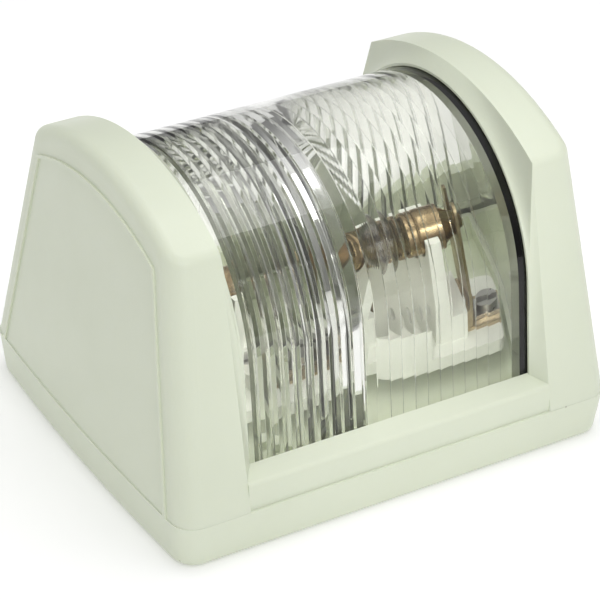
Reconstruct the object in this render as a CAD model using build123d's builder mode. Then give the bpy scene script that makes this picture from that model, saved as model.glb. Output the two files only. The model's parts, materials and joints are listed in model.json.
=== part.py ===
"""Compact navigation light: a white housing with a clear ribbed lens over a tubular bulb.

Frame: the mounting face lies on Z = 0 and the light looks along +Z. X runs along the lens and bulb axis,
and -X is the end that points up when the light is fixed to a bulkhead. Millimetres.
"""

import os
from math import atan2, cos, radians, sin, sqrt, tan

from build123d import *

# --- Housing ---------------------------------------------------------------------------------------
length = 84.0
width = 69.5
height = 57.0
end_bulge = 1.2  # how far each end face swells out at mid-width
corner_radius = 4.0
top_edge_radius = 2.6
end_draft = 5.5  # degrees
side_draft = 13.5
shoulder_height = 50.2  # where the straight sides meet the arched top
side_wall = 2.4
end_wall = 3.2
end_panel_height = 0.35  # raised border on the upper end face
end_panel_line = 0.7
end_panel_inset = 5.0

# --- Base ------------------------------------------------------------------------------------------
base_height = 8.0
base_floor = 2.5
base_wall = 2.2
base_edge_radius = 1.2
end_ledge = 0.25  # the cover is this much shorter than the base at each end
side_ledge = 0.05

# --- Lens ------------------------------------------------------------------------------------------
lens_radius = 28.3
lens_axis_height = 26.0
lens_draft = 7.0
lens_end_room = 8.1  # from each tip of the bulb to the end of the lens
lens_wall = 3.4
lens_end_wall = 2.2
lens_clearance = 0.15
lens_shoulder = 0.3  # least step in the cover's end caps that the lens's ends stand behind
lens_index = 1.49  # how strongly the clear plastic bends light
ring_pitch = 2.3
ring_count = 10  # prism rings on each side of the middle belt
riser_draft = 0.12

# --- Window in the cover ---------------------------------------------------------------------------
window_flare = 2.0  # how much wider the window is at the housing surface than at the lens, at each end
window_lip = 0.45
sill_height = 13.8
sill_slope = 15.5  # degrees
sill_recess = 0.4
sill_face_draft = 3.0
sill_edge_radius = 0.8

# --- Seals -----------------------------------------------------------------------------------------
seal_width = 1.6
seal_bottom = 5.2
seal_gap = 0.1  # between the seal and the lens above it
seal_rib_width = 3.2
seal_rib_top = 6.6
back_gasket_width = 2.4
back_gasket_depth = 1.2
back_gasket_inset = 4.4

# --- Skirt, hooks and screw that hold the cover to the base ----------------------------------------
skirt_clearance = 0.3
skirt_wall = 1.0
skirt_depth = 3.8
hook_spacing = 36.0
hook_width = 8.0
hook_reach = 0.6
hook_height = 1.2
hook_gap = 0.3
hook_swing = 0.6  # headroom for the hooks to swing out of their slots
clamp_height = 4.6  # the clamp screw's axis, above the mounting face
clamp_screw_radius = 1.5
clamp_head_radius = 2.8
clamp_head_inset = 0.6  # the head's face, in from the end of the base
clamp_screw_length = 7.8
clamp_slot_width = 0.7
clamp_slot_depth = 0.6
tongue_half_width = 4.4
tongue_bottom = 3.1
nut_size = 5.5
nut_height = 2.2
nut_wall = 0.9
lug_top = 7.2

# --- Fixing holes and cable entry ------------------------------------------------------------------
fixing_spacing = 40.0
fixing_hole_radius = 2.2
fixing_boss_radius = 5.0
fixing_boss_height = 4.0
cable_radius = 2.8
grommet_radius = 4.6
grommet_flange_radius = 6.2
grommet_flange_height = 1.0

# --- Bulb ------------------------------------------------------------------------------------------
bulb_length = 41.0
bulb_radius = 5.25
bulb_body_half = 10.6
bulb_glass_half = 14.4
bulb_glass_wall = 0.6
bulb_neck_radius = 3.1
cap_radius = 3.6
cap_start = 12.6
cap_shoulder = 17.0
cap_cone_radius = 3.0
cap_tip_radius = 1.0
filament_length = 8.0
filament_radius = 0.45
lead_radius = 0.2

# --- Bulb carrier ----------------------------------------------------------------------------------
carrier_half_length = 24.8
carrier_half_width = 9.5
carrier_bottom = 6.0
carrier_plate = 2.4
trough_half_length = 12.6
trough_rim = 14.4
trough_radius = 14.0
cradle_thickness = 1.8
cradle_half_width = 5.6
cradle_gap = 0.35
cradle_top_above_axis = 1.0
pedestal_length = 4.2
pedestal_height = 5.0
standoff_spacing = 20.0
standoff_radius = 3.2
carrier_screw_radius = 1.4
carrier_screw_head_radius = 2.4
carrier_screw_head_height = 1.6
carrier_screw_length = 5.0

# --- Contacts and terminals ------------------------------------------------------------------------
strip_thickness = 0.6
strip_half_width = 4.2
ear_height = 4.4
blade_thickness = 0.5
blade_half_width = 3.9
blade_top_above_axis = 5.0
slot_half_width = 2.0
slot_gap = 0.1
rivet_radius = 0.7
rivet_head_radius = 1.3
rivet_head_height = 0.5
rivet_gap = 0.35
rivet_height = 2.4
terminal_offset = 2.9  # the terminal screw, out from the blade
terminal_screw_radius = 1.3
terminal_head_radius = 1.9
terminal_head_height = 1.4
terminal_screw_length = 4.0
clamp_half_width = 2.2
clamp_thickness = 0.8
fit_gap = 0.05

# --- Worked-out places -----------------------------------------------------------------------------
half_length = length / 2
half_width = width / 2
side_lean = tan(radians(side_draft))
end_lean = tan(radians(end_draft))
lens_lean = tan(radians(lens_draft))
lens_half_length = bulb_length / 2 + lens_end_room
lens_bottom = base_height + seal_gap
window_half_inner = lens_half_length - window_flare
pocket_half_length = half_length - base_wall
pocket_half_width = half_width - base_wall
skirt_x = pocket_half_length - skirt_clearance  # outer face of the skirt
skirt_y = pocket_half_width - skirt_clearance
clamp_head_x = half_length - clamp_head_inset
lug_outer_x = skirt_x - skirt_wall - skirt_clearance
nut_outer_x = lug_outer_x - nut_wall
lug_inner_x = nut_outer_x - nut_height - nut_wall
carrier_top = carrier_bottom + carrier_plate
cone_slope = (cap_cone_radius - cap_tip_radius) / (bulb_length / 2 - cap_shoulder)
blade_x = cap_shoulder + (cap_cone_radius - slot_half_width + slot_gap) / cone_slope
ear_x = blade_x - strip_thickness
strip_end_x = blade_x + blade_thickness + terminal_offset + clamp_half_width + 0.2
terminal_x = blade_x + blade_thickness + terminal_offset
strip_top = carrier_top + strip_thickness
blade_bottom = strip_top + fit_gap
base_inset = base_height * end_lean

os.makedirs("parts", exist_ok=True)


def keep(part, name):
    """Labels a finished piece and writes its STEP file."""
    part.label = name
    export_step(part, f"parts/{name}.step")


def mirrored(point):
    return (-point[0], point[1])


def trace_plan(x_half, y_half):
    """Outline seen from above: straight long sides, and ends that swell outwards."""
    corner_x = x_half - end_bulge
    with BuildLine() as outline:
        Line((-corner_x, -y_half), (corner_x, -y_half))
        ThreePointArc((corner_x, -y_half), (x_half, 0), (corner_x, y_half))
        Line((corner_x, y_half), (-corner_x, y_half))
        ThreePointArc((-corner_x, y_half), (-x_half, 0), (-corner_x, -y_half))
    make_face(outline.edges())


def side_at(level):
    """Half the cover's width at a height."""
    return half_width - side_ledge - (level - base_height) * side_lean


def trace_housing_side(inset=0, mode=Mode.ADD):
    """The cover seen from its end: sides that lean in to the shoulders, and an arched top."""
    foot = (side_at(base_height) - inset, base_height)
    shoulder = (side_at(shoulder_height - inset / 2) - inset, shoulder_height - inset / 2)
    with BuildLine() as outline:
        Line(mirrored(foot), foot)
        Line(foot, shoulder)
        ThreePointArc(shoulder, (0, height - inset), mirrored(shoulder))
        Line(mirrored(shoulder), mirrored(foot))
    make_face(outline.edges(), mode=mode)


def arch_point(radius, angle):
    """A point on a circle about the lens axis, its angle in degrees above the horizontal."""
    return (radius * cos(radians(angle)), lens_axis_height + radius * sin(radians(angle)))


def arch_foot(radius, level):
    """Where the arch's straight leg reaches a height."""
    y, z = arch_point(radius, lens_draft)
    return (y + (z - level) * lens_lean, level)


def trace_arch(radius, level):
    """The lens seen from its end: a round arch on two straight legs that spread a little."""
    foot, spring = arch_foot(radius, level), arch_point(radius, lens_draft)
    with BuildLine() as outline:
        Line(mirrored(foot), foot)
        Line(foot, spring)
        ThreePointArc(spring, arch_point(radius, 90), mirrored(spring))
        Line(mirrored(spring), mirrored(foot))
    make_face(outline.edges())


def rising_edges(part, least=1.0):
    """Edges whose two ends are at different heights."""
    return part.edges().filter_by(lambda edge: abs((edge @ 1).Z - (edge @ 0).Z) > least)


def trace_disc(x, y, radius, mode=Mode.ADD):
    """A circle drawn about a point of the sketch plane."""
    with Locations((x, y)):
        Circle(radius, mode=mode)


def trace_box(x, y, x_half, y_half, mode=Mode.ADD):
    """A rectangle drawn about a point of the sketch plane."""
    with Locations((x, y)):
        Rectangle(2 * x_half, 2 * y_half, mode=mode)


# --- Mounting base ---------------------------------------------------------------------------------
seal_x = lens_half_length - lens_end_wall / 2
seal_y = (arch_foot(lens_radius, lens_bottom)[0] + arch_foot(lens_radius - lens_wall, lens_bottom)[0]) / 2
hook_bottom = base_height - skirt_depth
hook_y = hook_spacing / 2
hook_tip_x = pocket_half_length - end_bulge * (hook_spacing / width) ** 2 + hook_reach
gasket_half_length = half_length - base_inset - back_gasket_inset
gasket_half_width = half_width - base_inset - back_gasket_inset

with BuildPart() as mounting_base:
    with BuildSketch(Plane.XY.offset(base_height)):
        trace_plan(half_length, half_width)
    extrude(amount=-base_height, taper=end_draft)
    fillet(rising_edges(mounting_base), corner_radius)
    fillet(mounting_base.faces().sort_by(Axis.Z)[0].edges(), base_edge_radius)
    with BuildSketch(Plane.XY.offset(base_floor)) as tray:
        trace_plan(pocket_half_length, pocket_half_width)
        fillet(tray.vertices(), corner_radius - base_wall)
    extrude(amount=base_height, mode=Mode.SUBTRACT)
    with BuildSketch(Plane.XY.offset(base_floor)):
        RectangleRounded(2 * seal_x + seal_rib_width, 2 * seal_y + seal_rib_width, seal_rib_width / 2)
        Rectangle(2 * seal_x - seal_rib_width, 2 * seal_y - seal_rib_width, mode=Mode.SUBTRACT)
    extrude(amount=seal_rib_top - base_floor)
    with BuildSketch(Plane.XY.offset(base_floor)):
        trace_box((lug_outer_x + lug_inner_x) / 2, 0, (lug_outer_x - lug_inner_x) / 2, tongue_half_width)
    extrude(amount=lug_top - base_floor)
    with BuildSketch(Plane.XY.offset(seal_bottom)):
        RectangleRounded(2 * seal_x + seal_width, 2 * seal_y + seal_width, seal_width)
        RectangleRounded(2 * seal_x - seal_width, 2 * seal_y - seal_width, seal_width / 2, mode=Mode.SUBTRACT)
    extrude(amount=base_height, mode=Mode.SUBTRACT)
    with BuildSketch(Plane.XY.offset(back_gasket_depth)):
        with GridLocations(0, fixing_spacing, 1, 2):
            Circle(fixing_boss_radius)
    extrude(amount=fixing_boss_height - back_gasket_depth)
    with BuildSketch(Plane.XY.offset(back_gasket_depth)):
        with GridLocations(standoff_spacing, 0, 2, 1):
            Circle(standoff_radius)
    extrude(amount=carrier_bottom - back_gasket_depth)
    with Locations((0, 0, fixing_boss_height)):
        with GridLocations(0, fixing_spacing, 1, 2):
            Hole(fixing_hole_radius)
    with Locations((0, 0, carrier_bottom)):
        with GridLocations(standoff_spacing, 0, 2, 1):
            Hole(carrier_screw_radius + fit_gap, depth=carrier_screw_length - carrier_plate + 0.4)
    with Locations((0, 0, base_floor)):
        Hole(grommet_radius)
    with BuildSketch(Plane.XY):
        Rectangle(2 * gasket_half_length, 2 * gasket_half_width)
        Rectangle(
            2 * (gasket_half_length - back_gasket_width),
            2 * (gasket_half_width - back_gasket_width),
            mode=Mode.SUBTRACT,
        )
    extrude(amount=back_gasket_depth, mode=Mode.SUBTRACT)
    with BuildSketch(Plane.YZ.offset(lug_inner_x)):
        trace_disc(0, clamp_height, clamp_screw_radius + 2 * fit_gap)
    extrude(amount=length, mode=Mode.SUBTRACT)
    with BuildSketch(Plane.YZ.offset(clamp_head_x)):
        trace_disc(0, clamp_height, clamp_head_radius + fit_gap)
    extrude(amount=-clamp_head_radius, taper=45, mode=Mode.SUBTRACT)
    with BuildSketch(Plane.YZ.offset(clamp_head_x)):
        trace_disc(0, clamp_height, clamp_head_radius + fit_gap)
    extrude(amount=base_height, mode=Mode.SUBTRACT)
    with BuildSketch(Plane.XY.offset(clamp_height - nut_size / 2 - fit_gap)):
        trace_box(nut_outer_x - nut_height / 2, 0, nut_height / 2 + fit_gap, nut_size / 2 + fit_gap)
    extrude(amount=base_height, mode=Mode.SUBTRACT)
    with BuildSketch(Plane.XY.offset(hook_bottom - hook_gap)):
        for y in (-hook_y, hook_y):
            trace_box(-hook_tip_x + 1.0 - hook_gap, y, 1.0, hook_width / 2 + hook_gap)
    extrude(amount=hook_gap + hook_height + hook_swing, mode=Mode.SUBTRACT)
keep(mounting_base.part, "mounting_base")

# --- Seals and cable grommet -----------------------------------------------------------------------
with BuildPart() as back_gasket:
    with BuildSketch(Plane.XY):
        Rectangle(2 * (gasket_half_length - fit_gap), 2 * (gasket_half_width - fit_gap))
        Rectangle(
            2 * (gasket_half_length - back_gasket_width + fit_gap),
            2 * (gasket_half_width - back_gasket_width + fit_gap),
            mode=Mode.SUBTRACT,
        )
    extrude(amount=back_gasket_depth)
keep(back_gasket.part, "back_gasket")

with BuildPart() as lens_seal:
    with BuildSketch(Plane.XY.offset(seal_bottom)):
        ring_half = seal_width / 2 - fit_gap
        RectangleRounded(2 * (seal_x + ring_half), 2 * (seal_y + ring_half), 2 * ring_half)
        RectangleRounded(2 * (seal_x - ring_half), 2 * (seal_y - ring_half), ring_half, mode=Mode.SUBTRACT)
    extrude(amount=base_height - seal_bottom)
    fillet(lens_seal.faces().sort_by(Axis.Z)[-1].edges(), seal_width / 4)
keep(lens_seal.part, "lens_seal")

with BuildPart() as cable_grommet:
    with BuildSketch(Plane.XY):
        Circle(grommet_radius - fit_gap)
    extrude(amount=base_floor + grommet_flange_height)
    with BuildSketch(Plane.XY.offset(base_floor)):
        Circle(grommet_flange_radius)
    extrude(amount=grommet_flange_height)
    fillet(cable_grommet.faces().sort_by(Axis.Z)[-1].edges(), grommet_flange_height / 3)
    Hole(cable_radius)
keep(cable_grommet.part, "cable_grommet")

# --- Lens ------------------------------------------------------------------------------------------
lens_inner_radius = lens_radius - lens_wall
belt_half = ring_pitch / 2
rib_end = belt_half + ring_count * ring_pitch


def ring_depth(x):
    """How deep a full-width prism at x is cut: it turns light from the bulb's middle square to the axis."""
    ray = atan2(x, lens_inner_radius)
    return ring_pitch * sin(ray) / (lens_index - cos(ray))


def trace_lens_wall():
    """The lens wall cut along its axis: smooth outside, and inside a crowned belt and prism rings."""
    inner = [(belt_half, lens_inner_radius + ring_depth(belt_half / 2) / 2)]
    for index in range(ring_count):
        start = belt_half + index * ring_pitch
        inner.append((start + riser_draft, lens_inner_radius))
        inner.append((start + ring_pitch, lens_inner_radius + ring_depth(start + ring_pitch / 2)))
    inner.append((rib_end + riser_draft, lens_inner_radius))
    inner.append((lens_half_length, lens_inner_radius))
    inner.append((lens_half_length, lens_radius))
    with BuildLine() as outline:
        ThreePointArc(mirrored(inner[0]), (0, lens_inner_radius), inner[0])
        Polyline(*inner)
        Line(inner[-1], mirrored(inner[-1]))
        Polyline(*[mirrored(point) for point in inner])
    make_face(outline.edges())


lean = radians(lens_draft)
lens_spring = Plane(origin=(0, 0, lens_axis_height), x_dir=(1, 0, 0), z_dir=(0, -sin(lean), cos(lean)))

with BuildPart() as fresnel_lens:
    with BuildSketch(lens_spring):
        trace_lens_wall()
    revolve(axis=Axis((0, 0, lens_axis_height), (1, 0, 0)), revolution_arc=90 - lens_draft)
    with BuildSketch(lens_spring):
        trace_lens_wall()
    extrude(amount=-lens_axis_height)
    mirror(about=Plane.XZ)
    with BuildSketch(Plane.YZ.offset(lens_half_length - lens_end_wall)):
        trace_arch(lens_radius - lens_wall / 4, 0)
    extrude(amount=lens_end_wall)
    with BuildSketch(Plane.YZ.offset(-lens_half_length)):
        trace_arch(lens_radius - lens_wall / 4, 0)
    extrude(amount=lens_end_wall)
    split(bisect_by=Plane.XY.offset(lens_bottom), keep=Keep.TOP)
keep(fresnel_lens.part, "fresnel_lens")

# --- Cover -----------------------------------------------------------------------------------------
cover_half_length = half_length - end_ledge
sill_foot = side_at(base_height) - sill_recess
sill_edge = sill_foot - (sill_height - base_height) * tan(radians(sill_face_draft))
sill_inner = arch_foot(lens_radius, sill_height)[0]
sill_edge_height = sill_height - (sill_edge - sill_inner) * tan(radians(sill_slope))
cavity_radius = min(side_at(lens_axis_height) - side_wall, lens_radius - lens_shoulder)

with BuildPart() as cover_cavity:
    with BuildSketch(Plane.YZ):
        trace_arch(cavity_radius, 0)
    extrude(amount=half_length, both=True)
    with BuildSketch(Plane.XY):
        trace_plan(cover_half_length - end_wall + base_inset, half_width + end_bulge)
    extrude(amount=height, taper=end_draft, mode=Mode.INTERSECT)
    with BuildSketch(Plane.YZ):
        trace_arch(lens_radius + lens_clearance, 0)
    extrude(amount=lens_half_length + lens_clearance, both=True)

with BuildPart() as end_panel:
    with BuildSketch(Plane.YZ.offset(-length)):
        trace_housing_side(end_panel_inset)
        trace_housing_side(end_panel_inset + end_panel_line, mode=Mode.SUBTRACT)
    extrude(amount=length)
    with BuildSketch(Plane.XY.offset(base_height)):
        trace_plan(cover_half_length + end_panel_height, half_width + end_bulge)
    extrude(amount=height, taper=end_draft, mode=Mode.INTERSECT)
    with BuildSketch(Plane.XY.offset(base_height)):
        trace_plan(cover_half_length - 1, half_width + end_bulge)
    extrude(amount=height, taper=end_draft, mode=Mode.SUBTRACT)

with BuildPart() as cover:
    with BuildSketch(Plane.YZ):
        trace_housing_side()
    extrude(amount=half_length, both=True)
    with BuildSketch(Plane.XY.offset(base_height)):
        trace_plan(cover_half_length, half_width + end_bulge)
    extrude(amount=height, taper=end_draft, mode=Mode.INTERSECT)
    corners = rising_edges(cover).filter_by(lambda edge: abs((edge @ 0).Y) > side_at(height))
    fillet(corners, corner_radius)
    rims = cover.edges().filter_by(lambda edge: (edge @ 0.5).Z > shoulder_height and abs((edge @ 0.5).X) > 1)
    fillet(rims, top_edge_radius)
    with BuildSketch(Plane.XY):
        Rectangle(2 * lens_half_length, 2 * width)
    extrude(amount=2 * height, mode=Mode.SUBTRACT)
    for side in (1, -1):
        with BuildSketch(Plane.YZ.offset(side * lens_half_length)):
            trace_housing_side()
        with BuildSketch(Plane.YZ.offset(side * window_half_inner)):
            trace_arch(lens_radius + lens_clearance + window_lip, base_height)
        loft(ruled=True)
    with BuildSketch(Plane.YZ) as sill:
        with BuildLine() as outline:
            right = [(sill_foot, base_height), (sill_edge, sill_edge_height), (sill_inner, sill_height)]
            Polyline(*right, *[mirrored(point) for point in reversed(right)], close=True)
        make_face(outline.edges())
        fillet(sill.vertices().group_by(Axis.Y)[-2] + sill.vertices().group_by(Axis.Y)[1], sill_edge_radius)
    extrude(amount=lens_half_length, both=True)
    add(cover_cavity.part, mode=Mode.SUBTRACT)
    add(end_panel.part)
    with BuildSketch(Plane.XY.offset(base_height + skirt_wall)) as skirt:
        trace_plan(skirt_x, skirt_y)
        fillet(skirt.vertices(), corner_radius - base_wall)
        offset(amount=-skirt_wall, mode=Mode.SUBTRACT)
    extrude(amount=-skirt_wall - skirt_depth)
    with BuildSketch(Plane.XY.offset(base_height + skirt_wall)):
        trace_box(skirt_x - skirt_wall / 2 - fit_gap, 0, skirt_wall / 2, tongue_half_width)
    extrude(amount=tongue_bottom - base_height - skirt_wall)
    with BuildSketch(Plane.XY.offset(hook_bottom)):
        for y in (-hook_y, hook_y):
            trace_box(-hook_tip_x + 1.0, y, 1.0, hook_width / 2)
    extrude(amount=hook_height)
    with BuildSketch(Plane.XY):
        trace_box(skirt_x, 0, 2 * skirt_wall, clamp_screw_radius + skirt_clearance)
    extrude(amount=clamp_height, mode=Mode.SUBTRACT)
    with BuildSketch(Plane.YZ.offset(lug_inner_x)):
        trace_disc(0, clamp_height, clamp_screw_radius + skirt_clearance)
    extrude(amount=length, mode=Mode.SUBTRACT)
keep(cover.part, "cover")

# --- Clamp screw and nut ---------------------------------------------------------------------------
with BuildPart() as clamp_screw:
    with BuildSketch(Plane.YZ.offset(clamp_head_x)):
        trace_disc(0, clamp_height, clamp_head_radius)
    extrude(amount=clamp_screw_radius - clamp_head_radius, taper=45)
    with BuildSketch(Plane.YZ.offset(clamp_head_x)):
        trace_disc(0, clamp_height, clamp_screw_radius)
    extrude(amount=-clamp_screw_length)
    with BuildSketch(Plane.YZ.offset(clamp_head_x)):
        trace_box(0, clamp_height, clamp_head_radius, clamp_slot_width / 2)
    extrude(amount=-clamp_slot_depth, mode=Mode.SUBTRACT)
keep(clamp_screw.part, "clamp_screw")

with BuildPart() as clamp_nut:
    with BuildSketch(Plane.YZ.offset(nut_outer_x - nut_height)):
        trace_box(0, clamp_height, nut_size / 2, nut_size / 2)
        with Locations((0, clamp_height)):
            Circle(clamp_screw_radius + fit_gap, mode=Mode.SUBTRACT)
    extrude(amount=nut_height)
keep(clamp_nut.part, "clamp_nut")

# --- Bulb carrier ----------------------------------------------------------------------------------
pedestal_top = carrier_top + pedestal_height
cradle_x = ear_x - pedestal_length
cradle_radius = cap_radius + cradle_gap
cradle_top = lens_axis_height + cradle_top_above_axis
trough_axis = trough_rim + sqrt(trough_radius**2 - carrier_half_width**2)

with BuildPart() as bulb_carrier:
    with BuildSketch(Plane.XY.offset(carrier_bottom)):
        RectangleRounded(2 * carrier_half_length, 2 * carrier_half_width, 1.5)
    extrude(amount=carrier_plate)
    with BuildSketch(Plane.XY.offset(carrier_top)):
        Rectangle(2 * trough_half_length, 2 * carrier_half_width)
    extrude(amount=trough_rim - carrier_top)
    with BuildSketch(Plane.YZ):
        trace_disc(0, trough_axis, trough_radius)
    extrude(amount=trough_half_length, both=True, mode=Mode.SUBTRACT)
    for side in (1, -1):
        with BuildSketch(Plane.XY.offset(carrier_top)):
            trace_box(side * (cradle_x + ear_x) / 2, 0, pedestal_length / 2, cradle_half_width)
        extrude(amount=pedestal_height)
        with BuildSketch(Plane.YZ.offset(side * cradle_x)):
            trace_box(0, (pedestal_top + cradle_top) / 2, cradle_half_width, (cradle_top - pedestal_top) / 2)
            trace_box(0, cradle_top, cradle_radius, cradle_top - lens_axis_height, mode=Mode.SUBTRACT)
            trace_disc(0, lens_axis_height, cradle_radius, mode=Mode.SUBTRACT)
        extrude(amount=side * cradle_thickness)
    with BuildSketch(Plane.YZ.offset(-carrier_half_length)):
        trace_disc(0, strip_top + rivet_height, rivet_radius + rivet_gap)
    extrude(amount=2 * carrier_half_length, mode=Mode.SUBTRACT)
    with Locations((0, 0, carrier_top)):
        with GridLocations(standoff_spacing, 0, 2, 1):
            Hole(carrier_screw_radius + fit_gap)
    with BuildSketch(Plane.XY.offset(carrier_top)):
        with GridLocations(standoff_spacing, 0, 2, 1):
            Circle(carrier_screw_head_radius + cradle_gap / 2)
    extrude(amount=trough_rim, mode=Mode.SUBTRACT)
    with Locations((0, 0, carrier_top)):
        with GridLocations(2 * terminal_x, 0, 2, 1):
            Hole(terminal_screw_radius + fit_gap)
keep(bulb_carrier.part, "bulb_carrier")

with BuildPart() as carrier_screws:
    with GridLocations(standoff_spacing, 0, 2, 1):
        with Locations((0, 0, carrier_top + carrier_screw_head_height / 2)):
            Cylinder(carrier_screw_head_radius, carrier_screw_head_height)
        with Locations((0, 0, carrier_top - carrier_screw_length / 2)):
            Cylinder(carrier_screw_radius, carrier_screw_length)
        with Locations((0, 0, carrier_top + carrier_screw_head_height)):
            Box(2 * carrier_screw_head_radius, clamp_slot_width, 2 * clamp_slot_depth, mode=Mode.SUBTRACT)
keep(carrier_screws.part, "carrier_screws")

# --- Contacts and terminals, one set at each end ---------------------------------------------------
slot_bottom = lens_axis_height
blade_top = lens_axis_height + blade_top_above_axis
clamp_bottom = strip_top + fit_gap
head_bottom = clamp_bottom + clamp_thickness

for side, end in ((-1, "upper"), (1, "lower")):
    with BuildPart() as terminal_strip:
        with BuildSketch(Plane.XY.offset(carrier_top)):
            trace_box(side * (ear_x + strip_end_x) / 2, 0, (strip_end_x - ear_x) / 2, strip_half_width)
        extrude(amount=strip_thickness)
        with BuildSketch(Plane.XY.offset(carrier_top)):
            trace_box(side * (ear_x + blade_x) / 2, 0, strip_thickness / 2, strip_half_width)
        extrude(amount=ear_height)
        with BuildSketch(Plane.YZ):
            trace_disc(0, strip_top + rivet_height, rivet_radius + rivet_gap)
        extrude(amount=side * length, mode=Mode.SUBTRACT)
        with Locations((side * terminal_x, 0, strip_top)):
            Hole(terminal_screw_radius + fit_gap)
    keep(terminal_strip.part, f"terminal_strip_{end}")

    with BuildPart() as contact_blade:
        with BuildSketch(Plane.YZ.offset(side * blade_x)) as profile:
            trace_box(0, (blade_bottom + blade_top) / 2, blade_half_width, (blade_top - blade_bottom) / 2)
            fillet(profile.vertices().group_by(Axis.Y)[-1], blade_half_width / 3)
            trace_box(0, blade_top, slot_half_width, blade_top - slot_bottom, mode=Mode.SUBTRACT)
            trace_disc(0, slot_bottom, slot_half_width, mode=Mode.SUBTRACT)
            trace_disc(0, strip_top + rivet_height, rivet_radius, mode=Mode.SUBTRACT)
        extrude(amount=side * blade_thickness)
    keep(contact_blade.part, f"contact_blade_{end}")

    with BuildPart() as contact_rivet:
        with BuildSketch(Plane.YZ.offset(side * (ear_x - cradle_thickness))):
            trace_disc(0, strip_top + rivet_height, rivet_radius)
        extrude(amount=side * (blade_x + blade_thickness - ear_x + cradle_thickness))
        with BuildSketch(Plane.YZ.offset(side * (blade_x + blade_thickness))):
            trace_disc(0, strip_top + rivet_height, rivet_head_radius)
        extrude(amount=side * rivet_head_height)
        rim = contact_rivet.faces().sort_by(Axis.X)[-1 if side > 0 else 0].edges()
        fillet(rim, rivet_head_height / 2)
    keep(contact_rivet.part, f"contact_rivet_{end}")

    with BuildPart() as wire_clamp:
        with Locations((side * terminal_x, 0, clamp_bottom + clamp_thickness / 2)):
            Box(2 * clamp_half_width, 2 * clamp_half_width, clamp_thickness)
        with Locations((side * terminal_x, 0, head_bottom)):
            Hole(terminal_screw_radius + fit_gap)
    keep(wire_clamp.part, f"wire_clamp_{end}")

    with BuildPart() as terminal_screw:
        with Locations((side * terminal_x, 0, head_bottom + fit_gap + terminal_head_height / 2)):
            Cylinder(terminal_head_radius, terminal_head_height)
        with Locations((side * terminal_x, 0, head_bottom + fit_gap - terminal_screw_length / 2)):
            Cylinder(terminal_screw_radius, terminal_screw_length)
        with Locations((side * terminal_x, 0, head_bottom + fit_gap + terminal_head_height)):
            Box(2 * terminal_head_radius, clamp_slot_width, 2 * clamp_slot_depth, mode=Mode.SUBTRACT)
    keep(terminal_screw.part, f"terminal_screw_{end}")

# --- Bulb ------------------------------------------------------------------------------------------
bulb_axis = Axis((0, 0, lens_axis_height), (1, 0, 0))
bulb_plane = Plane(origin=(0, 0, lens_axis_height), x_dir=(1, 0, 0), z_dir=(0, -1, 0))


def trace_glass(wall):
    """Half of the glass outline above the axis, set in by a wall: a tube with necked, closed ends."""
    body, neck, end = bulb_radius - wall, bulb_neck_radius - wall, bulb_glass_half - wall
    with BuildLine() as outline:
        for side in (1, -1):
            Line((0, body), (side * bulb_body_half, body))
            Bezier(
                (side * bulb_body_half, body),
                (side * (bulb_body_half + cap_start) / 2, body),
                (side * (bulb_body_half + cap_start) / 2, neck),
                (side * cap_start, neck),
            )
            Line((side * cap_start, neck), (side * end, neck))
            Line((side * end, neck), (side * end, 0))
        Line((-end, 0), (end, 0))
    make_face(outline.edges())


with BuildPart() as bulb_inside:
    with BuildSketch(bulb_plane):
        trace_glass(bulb_glass_wall)
    revolve(axis=bulb_axis)

with BuildPart() as bulb_glass:
    with BuildSketch(bulb_plane):
        trace_glass(0)
    revolve(axis=bulb_axis)
    add(bulb_inside.part, mode=Mode.SUBTRACT)
keep(bulb_glass.part, "bulb_glass")

with BuildPart() as bulb_filament:
    with Locations(Location((0, 0, lens_axis_height), (0, 90, 0))):
        Cylinder(filament_radius, filament_length)
        Cylinder(lead_radius, 2 * (bulb_glass_half - bulb_glass_wall))
keep(bulb_filament.part, "bulb_filament")

for side, end in ((-1, "upper"), (1, "lower")):
    with BuildPart() as bulb_cap:
        with BuildSketch(bulb_plane):
            with BuildLine() as outline:
                Polyline(
                    (side * cap_start, bulb_neck_radius + fit_gap),
                    (side * cap_start, cap_radius),
                    (side * cap_shoulder, cap_radius),
                    (side * cap_shoulder, cap_cone_radius),
                    (side * bulb_length / 2, cap_tip_radius),
                    (side * bulb_length / 2, 0),
                    (side * (bulb_glass_half + fit_gap), 0),
                    (side * (bulb_glass_half + fit_gap), bulb_neck_radius + fit_gap),
                    close=True,
                )
            make_face(outline.edges())
        revolve(axis=bulb_axis)
    keep(bulb_cap.part, f"bulb_cap_{end}")
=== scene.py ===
# %% [markdown]
# # A compact navigation light
#
# The light is a white moulded housing over a clear ribbed lens. Behind the lens a tubular bulb sits
# between two sprung brass contacts. The shapes that fit or move come from a fixed CAD frame, so this
# lesson is mostly about finish: moulded plastic, a clear lens that bends what is behind it, brass,
# steel, glass and rubber, and soft studio light.
#
# Everything is in metres. X runs along the bulb, and the light looks along +Z.

# %% Load the frame
import json

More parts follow.
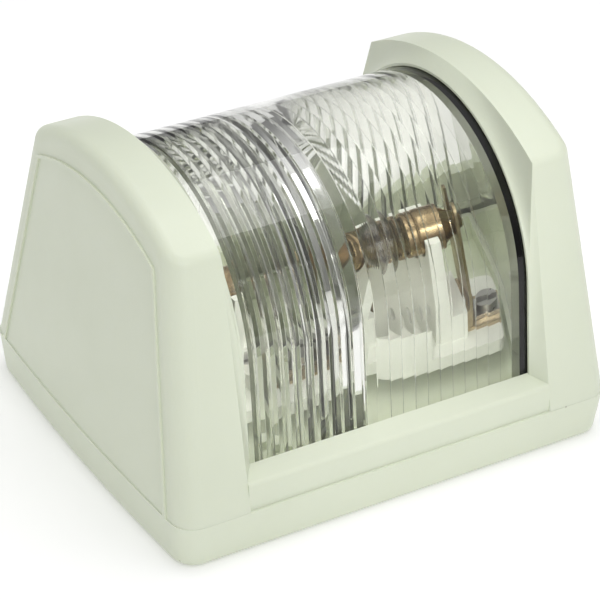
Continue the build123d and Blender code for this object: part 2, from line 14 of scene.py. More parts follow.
import bpy
from math import atan2, cos, pi, radians, sin
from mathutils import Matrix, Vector


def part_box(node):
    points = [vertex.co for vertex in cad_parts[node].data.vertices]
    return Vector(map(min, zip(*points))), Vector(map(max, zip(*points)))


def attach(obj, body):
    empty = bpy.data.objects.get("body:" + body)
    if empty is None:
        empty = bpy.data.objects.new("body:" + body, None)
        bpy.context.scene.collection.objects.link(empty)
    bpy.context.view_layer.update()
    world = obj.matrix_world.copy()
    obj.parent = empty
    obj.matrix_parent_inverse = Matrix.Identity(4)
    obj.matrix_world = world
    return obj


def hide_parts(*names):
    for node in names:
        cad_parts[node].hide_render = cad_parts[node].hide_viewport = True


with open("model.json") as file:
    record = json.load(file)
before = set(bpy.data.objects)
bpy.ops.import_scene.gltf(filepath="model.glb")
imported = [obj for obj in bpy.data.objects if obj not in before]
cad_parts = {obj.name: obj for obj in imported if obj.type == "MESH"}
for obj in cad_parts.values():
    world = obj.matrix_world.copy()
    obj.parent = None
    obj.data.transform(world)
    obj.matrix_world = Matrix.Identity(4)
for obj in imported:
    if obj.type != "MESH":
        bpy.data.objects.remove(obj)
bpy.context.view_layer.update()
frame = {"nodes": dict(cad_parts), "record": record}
nodes = frame["nodes"]
print("pieces in the frame:", len(nodes))

# %% [markdown]
# ## One way to make every material
#
# Each finish starts from an empty node tree with one Principled shader and one output. Values that
# are the same all over the surface go straight on the shader's own sockets. Only what varies over the
# surface is wired in from other nodes. A few helpers keep each finish down to one readable call.

# %% Material helpers


def make_finish(name, **settings):
    """A material with one Principled shader, its sockets named in words joined by underscores."""
    material = bpy.data.materials.new(name)
    material.use_nodes = True
    tree = material.node_tree
    shader = tree.nodes["Principled BSDF"]
    for socket, value in settings.items():
        shader.inputs[socket.replace("_", " ")].default_value = value
    return material, tree, shader


def add_node(tree, kind, options=None, **values):
    """A node with some of its options and inputs set by name."""
    node = tree.nodes.new(kind)
    for key, value in (options or {}).items():
        setattr(node, key, value)
    for key, value in values.items():
        node.inputs[key.replace("_", " ")].default_value = value
    return node


def start_group(name, inputs, outputs):
    """An empty node group with named inputs and their defaults, and outputs (name, socket kind)."""
    group = bpy.data.node_groups.new(name, "ShaderNodeTree")
    for label, value in inputs:
        kind = "NodeSocketColor" if isinstance(value, tuple) else "NodeSocketFloat"
        group.interface.new_socket(label, in_out="INPUT", socket_type=kind).default_value = value
    for label, kind in outputs:
        group.interface.new_socket(label, in_out="OUTPUT", socket_type=kind)
    return group, group.nodes.new("NodeGroupInput"), group.nodes.new("NodeGroupOutput")


def place_group(tree, group, **values):
    """One use of a node group, with its own values."""
    return add_node(tree, "ShaderNodeGroup", {"node_tree": group}, **values)


# A Mix node carries a set of sockets for each kind of data, so they are picked by their place.
number_a, number_b, number_out = 2, 3, 0
colour_a, colour_b, colour_out = 6, 7, 2
print("helpers ready")

# %% [markdown]
# ## Grain: the texture of a moulded or turned surface
#
# Under a soft light, even a smooth moulding or a turned cap breaks up its highlights a little. That
# could be an image of a surface, but a noise has no seams and no resolution. This group turns a fine
# noise into a surface normal. Its scale and depth make it the satin of a mould, the fine tooth of
# turned brass, or the cells of foam.

# %% Grain group
grain, grain_in, grain_out = start_group(
    "grain", [("Scale", 1500.0), ("Strength", 0.1), ("Depth", 0.0001)], [("Normal", "NodeSocketVector")]
)
place = add_node(grain, "ShaderNodeTexCoord")
noise = add_node(grain, "ShaderNodeTexNoise", Detail=3.0, Roughness=0.6)
bump = add_node(grain, "ShaderNodeBump")
grain.links.new(place.outputs["Object"], noise.inputs["Vector"])
grain.links.new(grain_in.outputs["Scale"], noise.inputs["Scale"])
grain.links.new(noise.outputs["Fac"], bump.inputs["Height"])
grain.links.new(grain_in.outputs["Strength"], bump.inputs["Strength"])
grain.links.new(grain_in.outputs["Depth"], bump.inputs["Distance"])
grain.links.new(bump.outputs["Normal"], grain_out.inputs["Normal"])
print("grain:", len(grain.nodes), "nodes")

# %% [markdown]
# ## Mottle: how one spot differs from the next
#
# No real plastic, brass or rubber has quite one colour. This group blends two colours and two
# roughnesses over soft patches. Both follow the same patches, because a dull spot on brass is darker
# and rougher at once. Low and High set how much of the noise falls between the two.

# %% Mottle group
mottle, mottle_in, mottle_out = start_group(
    "mottle",
    [
        ("Scale", 150.0),
        ("Low", 0.35),
        ("High", 0.65),
        ("Colour A", (0.8, 0.8, 0.8, 1.0)),
        ("Colour B", (0.7, 0.7, 0.7, 1.0)),
        ("Rough A", 0.4),
        ("Rough B", 0.5),
    ],
    [("Colour", "NodeSocketColor"), ("Roughness", "NodeSocketFloat")],
)
place = add_node(mottle, "ShaderNodeTexCoord")
noise = add_node(mottle, "ShaderNodeTexNoise", Detail=5.0, Roughness=0.55)
patch = add_node(mottle, "ShaderNodeMapRange")
tint = add_node(mottle, "ShaderNodeMix", {"data_type": "RGBA"})
rough = add_node(mottle, "ShaderNodeMix", {"data_type": "FLOAT"})
mottle.links.new(place.outputs["Object"], noise.inputs["Vector"])
mottle.links.new(mottle_in.outputs["Scale"], noise.inputs["Scale"])
mottle.links.new(noise.outputs["Fac"], patch.inputs["Value"])
mottle.links.new(mottle_in.outputs["Low"], patch.inputs["From Min"])
mottle.links.new(mottle_in.outputs["High"], patch.inputs["From Max"])
mottle.links.new(patch.outputs["Result"], tint.inputs["Factor"])
mottle.links.new(patch.outputs["Result"], rough.inputs["Factor"])
mottle.links.new(mottle_in.outputs["Colour A"], tint.inputs[colour_a])
mottle.links.new(mottle_in.outputs["Colour B"], tint.inputs[colour_b])
mottle.links.new(mottle_in.outputs["Rough A"], rough.inputs[number_a])
mottle.links.new(mottle_in.outputs["Rough B"], rough.inputs[number_b])
mottle.links.new(tint.outputs[colour_out], mottle_out.inputs["Colour"])
mottle.links.new(rough.outputs[number_out], mottle_out.inputs["Roughness"])
print("mottle:", len(mottle.nodes), "nodes")

# %% [markdown]
# ## Specks: a few tiny dots
#
# A moulding carries a few dark grains, and cut foam shows pale cells. Scattered meshes would be heavy
# for dots this small, so a Voronoi texture makes them: each cell gets a random colour, a share of the
# cells is chosen by its red, and the middle of each chosen cell becomes a dot.

# %% Specks group
specks, specks_in, specks_out = start_group(
    "specks", [("Scale", 500.0), ("Share", 0.1), ("Size", 0.2)], [("Mask", "NodeSocketFloat")]
)
place = add_node(specks, "ShaderNodeTexCoord")
cells = add_node(specks, "ShaderNodeTexVoronoi")
split = add_node(specks, "ShaderNodeSeparateColor")
chosen = add_node(specks, "ShaderNodeMath", {"operation": "LESS_THAN"})
small = add_node(specks, "ShaderNodeMath", {"operation": "LESS_THAN"})
both = add_node(specks, "ShaderNodeMath", {"operation": "MULTIPLY"})
specks.links.new(place.outputs["Object"], cells.inputs["Vector"])
specks.links.new(specks_in.outputs["Scale"], cells.inputs["Scale"])
specks.links.new(cells.outputs["Color"], split.inputs["Color"])
specks.links.new(split.outputs["Red"], chosen.inputs[0])
specks.links.new(specks_in.outputs["Share"], chosen.inputs[1])
specks.links.new(cells.outputs["Distance"], small.inputs[0])
specks.links.new(specks_in.outputs["Size"], small.inputs[1])
specks.links.new(chosen.outputs["Value"], both.inputs[0])
specks.links.new(small.outputs["Value"], both.inputs[1])
specks.links.new(both.outputs["Value"], specks_out.inputs["Mask"])
print("specks:", len(specks.nodes), "nodes")

# %% [markdown]
# ## The camera
#
# The light is seen from a little above, with the upper end cap nearest. The long lens keeps the far
# end almost as large as the near one. The camera stands about 45 cm away.

# %% Camera
scene = bpy.context.scene
camera_data = bpy.data.cameras.new("camera")
camera_data.sensor_width = 36.0
camera_data.lens = 157.5
camera_data.clip_start = 0.01
camera = bpy.data.objects.new("camera", camera_data)
camera.location = (-0.19265, -0.32065, 0.25624)
camera.rotation_euler = (radians(57.66), radians(-1.0), radians(-30.42))
scene.collection.objects.link(camera)
scene.camera = camera
print("camera distance:", round(camera.location.length, 3))

# %% [markdown]
# ## The floor
#
# The light lies on a white sweep. One flat square does for it, since its edges are far outside the
# view. It glows faintly, which keeps it near white without a stronger lamp that would flatten the
# housing. It is part of the stage and not of the light.

# %% Floor
scene.view_settings.view_transform = "Standard"
reach = 3.0
floor_mesh = bpy.data.meshes.new("floor")
floor_mesh.from_pydata(
    [(-reach, -reach, 0), (reach, -reach, 0), (reach, reach, 0), (-reach, reach, 0)], [], [(0, 1, 2, 3)]
)
floor = bpy.data.objects.new("floor", floor_mesh)
scene.collection.objects.link(floor)
floor_finish, tree, shader = make_finish(
    "pale_floor", Roughness=0.8, Emission_Color=(1, 1, 1, 1), Emission_Strength=0.17
)
weave = place_group(tree, mottle, Scale=40.0, Colour_A=(0.92, 0.92, 0.92, 1), Colour_B=(0.9, 0.9, 0.9, 1))
tree.links.new(weave.outputs["Colour"], shader.inputs["Base Color"])
floor.data.materials.append(floor_finish)
print("floor:", 2 * reach, "m across")

# %% [markdown]
# ## The lamps
#
# A large soft lamp overhead lights the top and the sills, and a smaller one from the front fills the
# faces that look towards the camera. The near end cap faces away from both, so it reads a tone
# darker. Clear ribs only sparkle when something small and bright shines on them, so a narrow spot
# lights the lens and little else.

# %% Lamps


def facing(place, target):
    """The turn that points a lamp from its place to a target."""
    return (Vector(target) - Vector(place)).to_track_quat("-Z", "Y").to_euler()


def hang_light(name, place, target, size, power):
    """A square area light that faces a point."""
    data = bpy.data.lights.new(name, "AREA")
    data.shape = "SQUARE"
    data.size = size
    data.energy = power
    light = bpy.data.objects.new(name, data)
    light.location = place
    light.rotation_euler = facing(place, target)
    scene.collection.objects.link(light)


light_middle = (0, 0, 0.03)
hang_light("overhead", place=(0.1, 0.0, 0.9), target=light_middle, size=0.7, power=3.0)
hang_light("front", place=(-0.2, -0.9, 0.42), target=light_middle, size=0.5, power=1.75)

lens_middle = (0.004, 0, 0.026)
snoot_data = bpy.data.lights.new("snoot", "SPOT")
snoot_data.spot_size = radians(5.0)
snoot_data.spot_blend = 0.7
snoot_data.shadow_soft_size = 0.03
snoot_data.energy = 8.0
snoot = bpy.data.objects.new("snoot", snoot_data)
snoot.location = (0.05, -0.65, 0.5)
snoot.rotation_euler = facing(snoot.location, lens_middle)
scene.collection.objects.link(snoot)

# %% [markdown]
# ## The surround
#
# A clear lens shows what is around it more than it shows itself. An even white surround would leave
# its ribs without edges, so this one is grey at the height of the horizon and brightens upwards. Rays
# pass many surfaces on their way through the ribs and the bulb, so they are allowed more bounces than
# usual. With too few, the inside of the lens turns dark.

# %% Surround
world = bpy.data.worlds.new("surround")
world.use_nodes = True
tree = world.node_tree
sky = tree.nodes["Background"]
place = add_node(tree, "ShaderNodeTexCoord")
split = add_node(tree, "ShaderNodeSeparateXYZ")
rise = add_node(
    tree,
    "ShaderNodeMapRange",
    {"interpolation_type": "SMOOTHSTEP"},
    From_Min=0.1,
    From_Max=1.0,
    To_Min=0.24,
    To_Max=0.8,
)
tree.links.new(place.outputs["Generated"], split.inputs["Vector"])
tree.links.new(split.outputs["Z"], rise.inputs["Value"])
tree.links.new(rise.outputs["Result"], sky.inputs["Strength"])
sky.inputs["Color"].default_value = (1, 1, 1, 1)
scene.world = world
scene.cycles.max_bounces = 24
scene.cycles.transmission_bounces = 20
print("bounces:", scene.cycles.max_bounces)

# %% [markdown]
# ## Finishes
#
# One function wires the shared groups to a shader: a mottled colour and roughness, grain for the
# normal, and specks laid over the colour where a finish asks for them. Every finish of the light is
# one call with its own numbers, so two finishes are easy to compare.

# %% Wiring shared by all finishes


def dress(name, tone, coat, dots=None, **settings):
    """A finish from the groups: tone feeds mottle, coat feeds grain, and dots feed specks."""
    material, tree, shader = make_finish(name, **settings)
    patches = place_group(tree, mottle, **tone)
    normal = place_group(tree, grain, **coat)
    colour = patches.outputs["Colour"]
    if dots:
        spread = place_group(tree, specks, **dots["spread"])
        over = add_node(tree, "ShaderNodeMix", {"data_type": "RGBA"})
        over.inputs[colour_b].default_value = dots["colour"]
        tree.links.new(spread.outputs["Mask"], over.inputs["Factor"])
        tree.links.new(colour, over.inputs[colour_a])
        colour = over.outputs[colour_out]
    tree.links.new(colour, shader.inputs["Base Color"])
    tree.links.new(patches.outputs["Roughness"], shader.inputs["Roughness"])
    tree.links.new(normal.outputs["Normal"], shader.inputs["Normal"])
    return material


def tone(scale, blend, colours, rough):
    """Values for the mottle group: where the noise blends, two colours and two roughnesses."""
    return {
        "Scale": scale,
        "Low": blend[0],
        "High": blend[1],
        "Colour_A": (*colours[0], 1.0),
        "Colour_B": (*colours[1], 1.0),
        "Rough_A": rough[0],
        "Rough_B": rough[1],
    }


def coat(scale, strength, depth):
    """Values for the grain group."""
    return {"Scale": scale, "Strength": strength, "Depth": depth}


def dots(scale, share, size, colour):
    """Values for the specks group, and the colour of the specks."""
    return {"spread": {"Scale": scale, "Share": share, "Size": size}, "colour": (*colour, 1.0)}


print("wiring ready")

# %% [markdown]
# ### Plastics
#
# The housing is a warm white with a hint of green, satin, with a fine moulded texture and a few dark
# grains. A little light sinks into it, which softens its edges as it does in real plastic, so it has
# some subsurface. The bulb carrier inside is a plainer, brighter white.

# %% Plastics
white = dress(
    "white_moulding",
    tone(90.0, blend=(0.3, 0.7), colours=((0.72, 0.765, 0.62), (0.705, 0.75, 0.605)), rough=(0.32, 0.42)),
    coat(scale=2600.0, strength=0.16, depth=0.00012),
    dots(scale=600.0, share=0.02, size=0.13, colour=(0.52, 0.53, 0.42)),
    IOR=1.5,
    Subsurface_Weight=0.12,
    Subsurface_Radius=(0.0012, 0.0011, 0.0008),
    Subsurface_Scale=1.0,
)
matt = dress(
    "carrier_plastic",
    tone(120.0, blend=(0.3, 0.7), colours=((0.92, 0.93, 0.87), (0.88, 0.9, 0.83)), rough=(0.42, 0.55)),
    coat(scale=3000.0, strength=0.1, depth=0.0001),
    IOR=1.5,
)
print(white.name, matt.name)

# %% [markdown]
# ### Clear parts
#
# The lens is clear plastic with a surface that ripples very gently from moulding. The bulb's glass is
# smoked inside. Both bend light for real, with full transmission and an index. The cost is that a
# lamp reaches the inside only by chance rays, which leaves it dark and noisy. So a shadow ray, which
# asks whether a lamp is in sight, sees these parts as nearly clear.

# %% Clear parts


def let_lamps_through(material, colour):
    """Lamps light what is inside a clear part directly, so the inside isn't left to chance rays."""
    tree = material.node_tree
    shader = tree.nodes["Principled BSDF"]
    path = add_node(tree, "ShaderNodeLightPath")
    gap = add_node(tree, "ShaderNodeBsdfTransparent", Color=(*colour, 1.0))
    choice = add_node(tree, "ShaderNodeMixShader")
    tree.links.new(path.outputs["Is Shadow Ray"], choice.inputs[0])
    tree.links.new(shader.outputs["BSDF"], choice.inputs[1])
    tree.links.new(gap.outputs["BSDF"], choice.inputs[2])
    tree.links.new(choice.outputs["Shader"], tree.nodes["Material Output"].inputs["Surface"])


lens_index = 1.49
clear = dress(
    "clear_lens",
    tone(60.0, blend=(0.3, 0.7), colours=((0.91, 0.915, 0.885), (0.87, 0.88, 0.84)), rough=(0.0, 0.03)),
    coat(scale=350.0, strength=0.05, depth=0.00004),
    IOR=lens_index,
    Transmission_Weight=1.0,
)
glass = dress(
    "bulb_glass",
    tone(200.0, blend=(0.35, 0.7), colours=((0.76, 0.73, 0.67), (0.34, 0.31, 0.26)), rough=(0.0, 0.04)),
    coat(scale=500.0, strength=0.04, depth=0.00003),
    IOR=1.5,
    Transmission_Weight=1.0,
)
let_lamps_through(clear, (0.99, 0.99, 0.97))
let_lamps_through(glass, (0.75, 0.73, 0.69))
print(clear.name, glass.name)

# %% [markdown]
# ### Metals
#
# The bulb's caps and the contacts are brass that has dulled in patches, and the caps show the widest
# range, from bright to nearly brown. The screws are plain stainless steel, and the filament is dark
# tungsten. Metal takes its look from what it reflects, so colour and roughness carry all of it.

# %% Metals
cap_brass = dress(
    "cap_brass",
    tone(420.0, blend=(0.38, 0.68), colours=((0.6, 0.46, 0.27), (0.2, 0.14, 0.08)), rough=(0.18, 0.4)),
    coat(scale=1800.0, strength=0.12, depth=0.00008),
    Metallic=1.0,
)
brass = dress(
    "contact_brass",
    tone(300.0, blend=(0.35, 0.72), colours=((0.56, 0.46, 0.3), (0.32, 0.25, 0.15)), rough=(0.26, 0.45)),
    coat(scale=1600.0, strength=0.12, depth=0.00008),
    Metallic=1.0,
)
steel = dress(
    "stainless_steel",
    tone(500.0, blend=(0.3, 0.7), colours=((0.62, 0.61, 0.59), (0.5, 0.49, 0.47)), rough=(0.24, 0.38)),
    coat(scale=2400.0, strength=0.15, depth=0.00006),
    Metallic=1.0,
)
tungsten = dress(
    "tungsten",
    tone(900.0, blend=(0.3, 0.7), colours=((0.2, 0.19, 0.18), (0.1, 0.1, 0.1)), rough=(0.35, 0.5)),
    coat(scale=4000.0, strength=0.2, depth=0.00003),
    Metallic=1.0,
)
print(cap_brass.name, brass.name, steel.name, tungsten.name)

# %% [markdown]
# ### Rubber and foam
#
# The seal and the grommet are black rubber that has greyed with a dusty bloom. The gasket in the
# mounting face is closed-cell foam, so its grain is deeper and it carries pale specks where cells
# were cut.

# %% Rubber and foam
rubber = dress(
    "black_rubber",
    tone(260.0, blend=(0.3, 0.6), colours=((0.06, 0.06, 0.055), (0.13, 0.13, 0.118)), rough=(0.5, 0.7)),
    coat(scale=2200.0, strength=0.25, depth=0.0001),
)
foam = dress(
    "foam_gasket",
    tone(400.0, blend=(0.35, 0.7), colours=((0.05, 0.05, 0.052), (0.085, 0.085, 0.085)), rough=(0.8, 0.95)),
    coat(scale=1200.0, strength=0.6, depth=0.0003),
    dots(scale=1600.0, share=0.35, size=0.3, colour=(0.13, 0.13, 0.13)),
)
print(rubber.name, foam.name)

# %% [markdown]
# ### Finishes onto pieces
#
# Each piece of the frame names a material slot. A table from slots to finishes dresses all of them in
# one loop, so a new piece needs no new code.

# %% Put the finishes on the frame's pieces
looks = {
    "white_plastic": white,
    "clear_lens": clear,
    "carrier_plastic": matt,
    "contact_brass": brass,
    "cap_brass": cap_brass,
    "steel": steel,
    "bulb_glass": glass,
    "filament": tungsten,
    "black_rubber": rubber,
    "foam_gasket": foam,
}
for part in frame["record"]["subparts"]:
    node = nodes[part["node"]]
    node.data.materials.clear()
    node.data.materials.append(looks[part["material_slot"]])

# %% [markdown]
# ## Meshes with their own normals
#
# Clear parts show every facet, so the lens, the bulb and the filament are built here as fine grids.
# A grid is a list of rows of points with a normal for each point. Where a profile turns a corner, the
# corner is a tiny arc of three steps whose normals swing from one face to the next, so flat faces
# stay flat and only the edge is round. A bevel modifier would round the edges too, but it can't be
# told what the normals are.

# %% Mesh helpers


def round_profile(points, radius, steps=3):
    """(a, b, normal a, normal b) along a polyline, its corners rounded; the normal is to the left."""
    rounded = []

    def heading(start, end):
        length = ((end[0] - start[0]) ** 2 + (end[1] - start[1]) ** 2) ** 0.5
        return ((end[0] - start[0]) / length, (end[1] - start[1]) / length, length)

    for index, point in enumerate(points):
        before = points[index - 1] if index else None
        after = points[index + 1] if index < len(points) - 1 else None
        if before is None or after is None:
            way = heading(point, after) if before is None else heading(before, point)
            rounded.append((*point, -way[1], way[0]))
            continue
        come, go = heading(before, point), heading(point, after)
        cut = min(radius, 0.4 * come[2], 0.4 * go[2])
        for k in range(steps + 1):
            t = k / steps
            x = point[0] + cut * (t**2 * go[0] - (1 - t) ** 2 * come[0])
            y = point[1] + cut * (t**2 * go[1] - (1 - t) ** 2 * come[1])
            way = ((1 - t) * come[0] + t * go[0], (1 - t) * come[1] + t * go[1])
            size = (way[0] ** 2 + way[1] ** 2) ** 0.5
            rounded.append((x, y, -way[1] / size, way[0] / size))
    return rounded


def add_mesh(name, vertices, normals, faces, material):
    """A mesh object that shades with the normals it is given."""
    mesh = bpy.data.meshes.new(name)
    mesh.from_pydata(vertices, [], faces)
    mesh.polygons.foreach_set("use_smooth", [True] * len(faces))
    mesh.update()
    mesh.normals_split_custom_set_from_vertices(normals)
    mesh.materials.append(material)
    piece = bpy.data.objects.new(name, mesh)
    scene.collection.objects.link(piece)
    return piece


def grid_faces(first, rows, columns, around=False, flip=False):
    """Quads over a grid of points numbered from `first`, row by row."""
    faces = []
    for row in range(rows - 1):
        for column in range(columns if around else columns - 1):
            low = first + row * columns + column
            side = first + row * columns + (column + 1) % columns
            face = (low, side, side + columns, low + columns)
            faces.append(face[::-1] if flip else face)
    return faces


print("mesh helpers ready")

# %% [markdown]
# ## The ribbed lens
#
# The real lens is one clear moulding. Outside it is smooth. Inside it has a crowned belt in the middle
# and prism rings on both sides, cut so that light from the bulb's middle leaves square to the axis.
# Its outer size comes from the frame, and the rest are the moulding's own sizes.

# %% Lens sizes
lens_low, lens_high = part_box("fresnel_lens")
lens_half = lens_high.x
lens_foot = lens_low.z
lens_axis = 0.026
lens_radius = lens_high.z - lens_axis
lens_wall = 0.0034
lens_inner = lens_radius - lens_wall
end_wall = 0.0022
lens_lean = radians(7.0)
ring_pitch = 0.0023
ring_count = 10
riser_draft = 0.00012
ring_corner = 0.00007
rim_height = 0.001
rim_corner = 0.00015
print("lens radius in mm:", round(lens_radius * 1000, 2))

# %% [markdown]
# ### The rings' profile
#
# Rings could be cut with booleans, but the cuts leave ragged triangles that show at once in clear
# plastic. Here the inside is one line along X instead. Going out from the belt, each prism slopes into
# the wall and then steps back steeply. Its depth follows from refraction: the further from the
# middle, the more the light has to bend, and the deeper the prism.

# %% Inner profile


def ring_depth(x):
    """How deep the prism centred at x is cut."""
    ray = atan2(x, lens_inner)
    return ring_pitch * sin(ray) / (lens_index - cos(ray))


def inner_profile():
    """(x, radius) along the inside of the lens, from one end wall to the other."""
    right = []
    for index in range(ring_count):
        start = ring_pitch * (index + 0.5)
        right.append((start + riser_draft, lens_inner))
        right.append((start + ring_pitch, lens_inner + ring_depth(start + ring_pitch / 2)))
    right.append((ring_pitch * (ring_count + 0.5) + riser_draft, lens_inner))
    right.append((lens_half - end_wall, lens_inner))
    crown = ring_depth(ring_pitch / 4) / 2
    belt = [(ring_pitch / 2 * t, lens_inner + crown * t * t) for t in (-1, -0.66, -0.33, 0, 0.33, 0.66, 1)]
    return [(-x, radius) for x, radius in reversed(right)] + belt + right


profile = round_profile(inner_profile(), ring_corner)
print("profile points:", len(profile))

# %% [markdown]
# ### The path round the arch
#
# The profile is repeated at many steps along a path: up one leaning leg, over the arch, and down the
# other. With 140 steps the arch's outline and its refraction both look round.

# %% Arch path


def arch_path(arch_steps, leg_steps):
    """(outward y, outward z, drop) round the arch; drop is how far down a leg the point lies."""
    leg = (lens_axis - lens_foot) / cos(lens_lean)
    path = []
    for k in range(leg_steps, 0, -1):
        path.append((-cos(lens_lean), sin(lens_lean), leg * k / leg_steps))
    for k in range(arch_steps + 1):
        angle = pi - lens_lean - (pi - 2 * lens_lean) * k / arch_steps
        path.append((cos(angle), sin(angle), 0.0))
    for k in range(1, leg_steps + 1):
        path.append((cos(lens_lean), sin(lens_lean), leg * k / leg_steps))
    return path


def lens_point(x, radius, step):
    """The point of the lens at a radius; the last point of each leg lies on the foot's plane."""
    out_y, out_z, drop = step
    y, z = radius * out_y, lens_axis + radius * out_z
    if drop:
        side = 1 if out_y > 0 else -1
        lowest = step in (path[0], path[-1])
        fall = (z - lens_foot) / cos(lens_lean) if lowest else drop
        y, z = y + side * sin(lens_lean) * fall, z - cos(lens_lean) * fall
    return (x, y, z)


path = arch_path(arch_steps=140, leg_steps=8)
print("path points:", len(path))

# %% [markdown]
# ### The lens's walls
#
# The outside is one smooth grid with softly rounded ends, and the inside is the ringed grid. Flat
# plates close the two ends, outside and inside. The pieces share no points, so each keeps its own
# normals where they meet.

# %% Build the lens
columns = len(path)
vertices, normals, faces = [], [], []


def add_row(x, radius, normal_x, normal_out):
    """One line of points round the arch, with normals that lean along X by normal_x."""
    for step in path:
        vertices.append(lens_point(x, radius, step))
        normals.append((normal_x, normal_out * step[0], normal_out * step[1]))


def add_plate(x, radius, normal_x):
    """A flat end face that fills the arch."""
    first = len(vertices)
    for step in path:
        vertices.append(lens_point(x, radius, step))
        normals.append((normal_x, 0.0, 0.0))
    ring = tuple(range(first, first + columns))
    faces.append(ring[::-1] if normal_x > 0 else ring)


outside = [
    (-lens_half, lens_radius - rim_height),
    (-lens_half, lens_radius),
    (lens_half, lens_radius),
    (lens_half, lens_radius - rim_height),
]
outer_edge = round_profile(outside, rim_corner)[1:-1]
for x, radius, normal_x, normal_out in outer_edge:
    add_row(x, radius, normal_x, normal_out)
faces += grid_faces(0, len(outer_edge), columns, flip=True)
first = len(vertices)
for x, radius, normal_x, normal_out in profile:
    add_row(x, radius, -normal_x, -normal_out)
faces += grid_faces(first, len(profile), columns)
add_plate(-lens_half, outer_edge[0][1], -1.0)
add_plate(lens_half, outer_edge[-1][1], 1.0)
add_plate(lens_half - end_wall, lens_inner, -1.0)
add_plate(-lens_half + end_wall, lens_inner, 1.0)
print("lens faces so far:", len(faces))

# %% [markdown]
# ### The lens's foot
#
# The foot is the flat rim that stands over the seal: two long strips under the legs and one plate
# under each end wall. The strips follow the rings' profile, so the foot closes the walls exactly.

# %% Foot of the lens
down = (0.0, 0.0, -1.0)


def add_quad(corners):
    """One flat face of the foot."""
    first = len(vertices)
    vertices.extend(corners)
    normals.extend([down] * 4)
    faces.append((first, first + 1, first + 2, first + 3))


for step in (path[0], path[-1]):
    side = 1 if step[0] > 0 else -1
    for low, high in zip(profile, profile[1:]):
        strip = [
            lens_point(low[0], low[1], step),
            lens_point(high[0], high[1], step),
            lens_point(high[0], lens_radius, step),
            lens_point(low[0], lens_radius, step),
        ]
        add_quad(strip if side < 0 else strip[::-1])
for end in (-1, 1):
    near, far = end * (lens_half - end_wall), end * lens_half
    plate = [
        lens_point(near, lens_radius, path[0]),
        lens_point(far, lens_radius, path[0]),
        lens_point(far, lens_radius, path[-1]),
        lens_point(near, lens_radius, path[-1]),
    ]
    add_quad(plate[::-1] if end > 0 else plate)
lens = add_mesh("ribbed_lens", vertices, normals, faces, clear)
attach(lens, "cover")
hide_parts("fresnel_lens")
print("lens:", len(vertices), "points,", len(faces), "faces")

# %% [markdown]
# ## The bulb
#
# A tubular bulb: a glass tube necked down at both ends, a rolled brass cap with a conical tip on each
# neck, and a coiled filament on straight leads. Every shape of it but the coil is turned about X. A
# screw modifier could turn them, but the same grids as the lens's give exact normals.

# %% Turned shapes
bulb_axis = lens_axis
axis_gap = 0.00003


def turn(name, outline, radius, material, steps=96):
    """A shape turned about the bulb's axis from an (x, radius) outline that keeps the solid on its right."""
    vertices, normals, faces = [], [], []
    rows = round_profile(outline, radius)
    for x, distance, normal_x, normal_out in rows:
        for k in range(steps):
            out = (cos(2 * pi * k / steps), sin(2 * pi * k / steps))
            vertices.append((x, distance * out[0], bulb_axis + distance * out[1]))
            normals.append((normal_x, normal_out * out[0], normal_out * out[1]))
    faces += grid_faces(0, len(rows), steps, around=True)
    last = (len(rows) - 1) * steps
    faces.append(tuple(range(steps))[::-1])
    faces.append(tuple(range(last, last + steps)))
    piece = add_mesh(name, vertices, normals, faces, material)
    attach(piece, "bulb")
    return piece


print("turning ready")

# %% [markdown]
# ### The glass
#
# The tube has a real wall, because a solid glass rod would magnify the filament like a lens. So the
# outside and the bore are two closed shapes, and the bore's faces look inwards. Each narrows to its
# neck in an S-shaped curve.

# %% Glass tube
glass_radius, glass_wall, glass_end = 0.00525, 0.0006, 0.0144
neck_radius, neck_start, neck_middle, neck_end = 0.0031, 0.0106, 0.0116, 0.0126
glass_corner = 0.0003


def neck_curve(body, neck, steps=14):
    """(x, radius) from the tube's radius down to the neck's, as an S-shaped curve."""
    curve = []
    for k in range(steps + 1):
        t = k / steps
        along = (1 - t) ** 3 * neck_start + 3 * (1 - t) * t * neck_middle + t**3 * neck_end
        across = (1 - t) ** 2 * (1 + 2 * t) * body + t**2 * (3 - 2 * t) * neck
        curve.append((along, across))
    return curve


def both_ends(inset):
    """(x, radius) from one end of the glass to the other, at a depth under its outside."""
    half = neck_curve(glass_radius - inset, neck_radius - inset) + [(glass_end - inset, neck_radius - inset)]
    return [(-x, radius) for x, radius in reversed(half)] + half


shell, hollow = both_ends(0.0), both_ends(glass_wall)
bore_end = glass_end - glass_wall
tube = turn("bulb_tube", [(-glass_end, axis_gap), *shell, (glass_end, axis_gap)], glass_corner, glass)
bore = turn("bulb_bore", [(bore_end, axis_gap), *reversed(hollow), (-bore_end, axis_gap)], glass_corner, glass)
for piece in (tube, bore):
    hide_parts("bulb_glass")
print("glass points:", len(tube.data.vertices) + len(bore.data.vertices))

# %% [markdown]
# ### The caps
#
# Each cap is a drawn brass cup over the neck, with a shallow rolled groove near its mouth and a
# conical tip that sits in the contact's fork. One outline serves both ends, mirrored for the upper
# one.

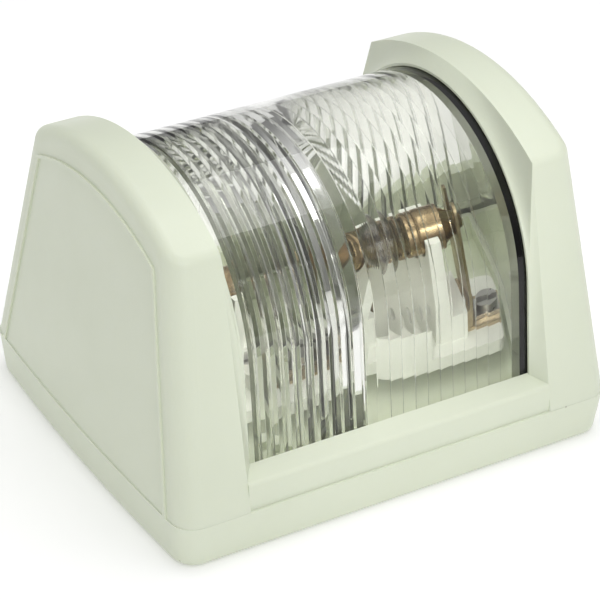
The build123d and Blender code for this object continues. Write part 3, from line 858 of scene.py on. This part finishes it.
# %% Caps
cap_mouth, cap_shoulder, cap_tip = 0.0126, 0.017, 0.0205
cap_bore, cap_radius, cap_corner = 0.00315, 0.0036, 0.00018
groove_x, groove_half, groove_depth = 0.01365, 0.00025, 0.00017
cone_foot, cone_tip = 0.003, 0.001
cap_outline = [
    (cap_mouth, cap_bore),
    (cap_mouth, cap_radius),
    (groove_x - groove_half, cap_radius),
    (groove_x, cap_radius - groove_depth),
    (groove_x + groove_half, cap_radius),
    (cap_shoulder, cap_radius),
    (cap_shoulder, cone_foot),
    (cap_tip, cone_tip),
    (cap_tip, axis_gap),
]
for side, end in ((-1, "upper"), (1, "lower")):
    outline = [(side * x, radius) for x, radius in cap_outline]
    cap = turn(f"cap_{end}", outline if side > 0 else outline[::-1], cap_corner, cap_brass)
    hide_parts(f"bulb_cap_{end}")
print("caps turned")

# %% [markdown]
# ### The filament
#
# The filament is a coil of thin wire. Its centre line is a helix with a straight lead at each end, and
# the wire is a ring of points carried along it. A curve with a bevel depth would look the same.

# %% Coiled filament
coil_half, coil_radius, coil_turns, turn_steps = 0.004, 0.00038, 26, 14
wire_radius, wire_sides = 0.00006, 8
lead_start, lead_end = coil_half + 0.0004, 0.0137
coil_steps = coil_turns * turn_steps
centre_line = [(-lead_end, 0.0, 0.0), (-lead_start, 0.0, 0.0)]
for k in range(coil_steps + 1):
    t = k / coil_steps
    angle = 2 * pi * coil_turns * t
    centre_line.append((coil_half * (2 * t - 1), coil_radius * cos(angle), coil_radius * sin(angle)))
centre_line += [(lead_start, 0.0, 0.0), (lead_end, 0.0, 0.0)]
vertices, normals = [], []
for index, point in enumerate(centre_line):
    before = Vector(centre_line[max(index - 1, 0)])
    after = Vector(centre_line[min(index + 1, len(centre_line) - 1)])
    way = (after - before).normalized()
    side = way.cross(Vector((0, 0, 1))).normalized()
    up = side.cross(way)
    for k in range(wire_sides):
        out = side * cos(2 * pi * k / wire_sides) + up * sin(2 * pi * k / wire_sides)
        vertices.append(tuple(Vector(point) + out * wire_radius + Vector((0, 0, bulb_axis))))
        normals.append(tuple(out))
last = len(vertices) - wire_sides
faces = grid_faces(0, len(centre_line), wire_sides, around=True, flip=True)
faces += [tuple(range(wire_sides)), tuple(range(last, last + wire_sides))[::-1]]
coil = add_mesh("filament_coil", vertices, normals, faces, tungsten)
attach(coil, "bulb")
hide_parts("bulb_filament")
print("filament points:", len(vertices))
